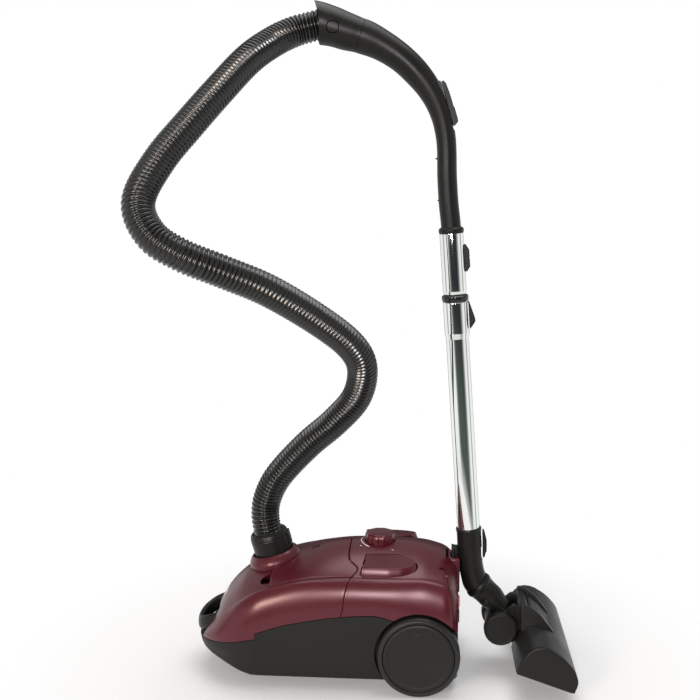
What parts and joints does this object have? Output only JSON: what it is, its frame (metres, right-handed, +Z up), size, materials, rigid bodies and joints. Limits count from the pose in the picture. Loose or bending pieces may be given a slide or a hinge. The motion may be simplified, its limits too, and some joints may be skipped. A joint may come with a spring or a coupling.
{
  "type": "canister vacuum cleaner",
  "caption": "Bagged canister vacuum cleaner on wheels, with a ribbed hose, a telescopic chrome wand and a floor head parked upright at its rear.",
  "frame": {"origin": "on the floor under the middle of the object without its hose", "axes": "+X from the canister's nose to its rear, -Y the side of the switch pedal, +Z up"},
  "size_m": [0.6309, 0.4231, 1.0356],
  "materials": {
    "burgundy": "glossy metallic burgundy moulding",
    "pale_pink": "glossy pale trim",
    "charcoal": "fine satin grain",
    "black": "satin black moulding",
    "dark_grey": "matt dark grey moulding",
    "chrome": "mirror chrome plate",
    "steel": "bright drawn steel",
    "paper": "soft filter paper",
    "foam": "open-cell foam",
    "cord": "black cord sheath",
    "tyre": "satin soft tread",
    "hose": "glossy ribbed black hose",
    "red": "glossy salmon red"
  },
  "bodies": {
    "root": {"base_housing": "charcoal", "front_shell": "burgundy", "rear_shell": "burgundy", "rear_panel": "burgundy", "inlet_ring": "burgundy", "parking_bracket": "burgundy", "carry_handle": "black", "hose_cuff": "black", "nose_insert": "pale_pink", "lid_hinge_pin": "steel", "reel_axle": "steel", "wheel_axle_left": "steel", "wheel_axle_right": "steel", "bag_holder": "dark_grey", "motor_housing": "dark_grey", "dust_bag": "paper", "motor_filter": "foam", "cord_outlet": "black", "cord_stop": "red", "caster_housing": "charcoal", "hose_lower": "hose"},
    "bag_lid": {"bag_lid": "burgundy", "lid_window": "black"},
    "power_knob": {"power_knob": "burgundy"},
    "pedal_switch": {"pedal_switch": "burgundy"},
    "pedal_rewind": {"pedal_rewind": "burgundy"},
    "wheel_left": {"rear_wheel_left": "tyre", "wheel_cap_left": "charcoal"},
    "wheel_right": {"rear_wheel_right": "tyre", "wheel_cap_right": "charcoal"},
    "caster": {"caster_fork": "black", "caster_axle": "steel"},
    "caster_wheel": {"caster_wheel": "dark_grey"},
    "cuff_latch": {"cuff_latch": "black"},
    "motor_fan": {"motor_fan": "steel"},
    "cord_reel": {"cord_reel": "dark_grey", "wound_cord": "cord"},
    "wand_lower": {"neck_elbow": "black", "park_hook": "black", "telescope_collar": "black", "lower_tube": "chrome"},
    "telescope_release": {"telescope_release": "black"},
    "neck_lever": {"neck_lever": "black"},
    "wand_upper": {"upper_tube": "chrome", "grip": "black", "hose_end": "black", "hose_upper": "hose"},
    "air_slider": {"air_slider": "black"},
    "grip_lock": {"grip_lock_button": "black"},
    "hose_snap": {"hose_end_snap": "dark_grey"},
    "swivel_yoke": {"swivel_yoke": "black", "tilt_axle": "steel"},
    "roller_left": {"neck_roller_left": "black"},
    "roller_right": {"neck_roller_right": "black"},
    "floor_head": {"head_shell": "dark_grey", "head_duct": "black", "head_cap_left": "black", "head_cap_right": "black", "head_sole": "charcoal", "brush_strip": "dark_grey"}
  },
  "joints": [
    {"name": "wheel_left_spin", "type": "hinge", "parent": "root", "child": "wheel_left", "pos_m": [0.058, -0.108, 0.063], "axis": [0, 1, 0], "continuous": true},
    {"name": "wheel_right_spin", "type": "hinge", "parent": "root", "child": "wheel_right", "pos_m": [0.058, 0.108, 0.063], "axis": [0, 1, 0], "continuous": true},
    {"name": "caster_swivel", "type": "hinge", "parent": "root", "child": "caster", "pos_m": [-0.2, 0, 0.028], "axis": [0, 0, 1], "continuous": true},
    {"name": "caster_roll", "type": "hinge", "parent": "caster", "child": "caster_wheel", "pos_m": [-0.191, 0, 0.012], "axis": [0, 1, 0], "continuous": true},
    {"name": "lid_open", "type": "hinge", "parent": "root", "child": "bag_lid", "pos_m": [-0.06, 0, 0.2002], "axis": [0, 1, 0], "range_deg": [0, 70]},
    {"name": "power_dial", "type": "hinge", "parent": "root", "child": "power_knob", "pos_m": [-0.004, 0, 0.21], "axis": [0, 0, 1], "range_deg": [0, 270]},
    {"name": "switch_press", "type": "slide", "parent": "root", "child": "pedal_switch", "axis": [0, 0, -1], "range_m": [0, 0.004], "stiffness_N_per_m": 1500},
    {"name": "rewind_press", "type": "slide", "parent": "root", "child": "pedal_rewind", "axis": [0, 0, -1], "range_m": [0, 0.004], "stiffness_N_per_m": 1500},
    {"name": "cuff_latch_press", "type": "slide", "parent": "root", "child": "cuff_latch", "axis": [-0.9659, 0, -0.2588], "range_m": [0, 0.0022], "stiffness_N_per_m": 600},
    {"name": "reel_spin", "type": "hinge", "parent": "root", "child": "cord_reel", "pos_m": [0.048, 0.04, 0.1], "axis": [0, 1, 0], "continuous": true},
    {"name": "fan_spin", "type": "hinge", "parent": "root", "child": "motor_fan", "pos_m": [0, -0.033, 0.084], "axis": [1, 0, 0], "continuous": true},
    {"name": "wand_lift", "type": "slide", "parent": "root", "child": "wand_lower", "axis": [0, 0, 1], "range_m": [0, 0.05], "deforming": ["hose_lower"]},
    {"name": "neck_lever_press", "type": "hinge", "parent": "wand_lower", "child": "neck_lever", "pos_m": [0.1595, 0, 0.205], "axis": [0, 1, 0], "range_deg": [0, 5], "stiffness_Nm_per_rad": 1},
    {"name": "telescope_release_slide", "type": "slide", "parent": "wand_lower", "child": "telescope_release", "axis": [0.0725, 0, -0.9974], "range_m": [0, 0.005], "stiffness_N_per_m": 400},
    {"name": "telescope", "type": "slide", "parent": "wand_lower", "child": "wand_upper", "axis": [-0.0725, 0, 0.9974], "range_m": [0, 0.25], "deforming": ["hose_upper"]},
    {"name": "air_slide", "type": "slide", "parent": "wand_upper", "child": "air_slider", "axis": [-0.277, 0, 0.9609], "range_m": [0, 0.008]},
    {"name": "grip_lock_press", "type": "slide", "parent": "wand_upper", "child": "grip_lock", "axis": [-0.9974, 0, -0.0725], "range_m": [0, 0.003], "stiffness_N_per_m": 500},
    {"name": "hose_snap_press", "type": "slide", "parent": "wand_upper", "child": "hose_snap", "axis": [0, 1, 0], "range_m": [0, 0.0015], "stiffness_N_per_m": 500},
    {"name": "neck_swivel", "type": "hinge", "parent": "wand_lower", "child": "swivel_yoke", "pos_m": [0.1495, 0, 0.1396], "axis": [0.72, 0, -0.694], "range_deg": [-60, 60]},
    {"name": "roller_left_spin", "type": "hinge", "parent": "swivel_yoke", "child": "roller_left", "pos_m": [0.186, -0.036, 0.079], "axis": [0, 1, 0], "continuous": true},
    {"name": "roller_right_spin", "type": "hinge", "parent": "swivel_yoke", "child": "roller_right", "pos_m": [0.186, 0.036, 0.079], "axis": [0, 1, 0], "continuous": true},
    {"name": "head_tilt", "type": "hinge", "parent": "swivel_yoke", "child": "floor_head", "pos_m": [0.186, 0, 0.079], "axis": [0, -1, 0], "range_deg": [-45, 20]}
  ]
}
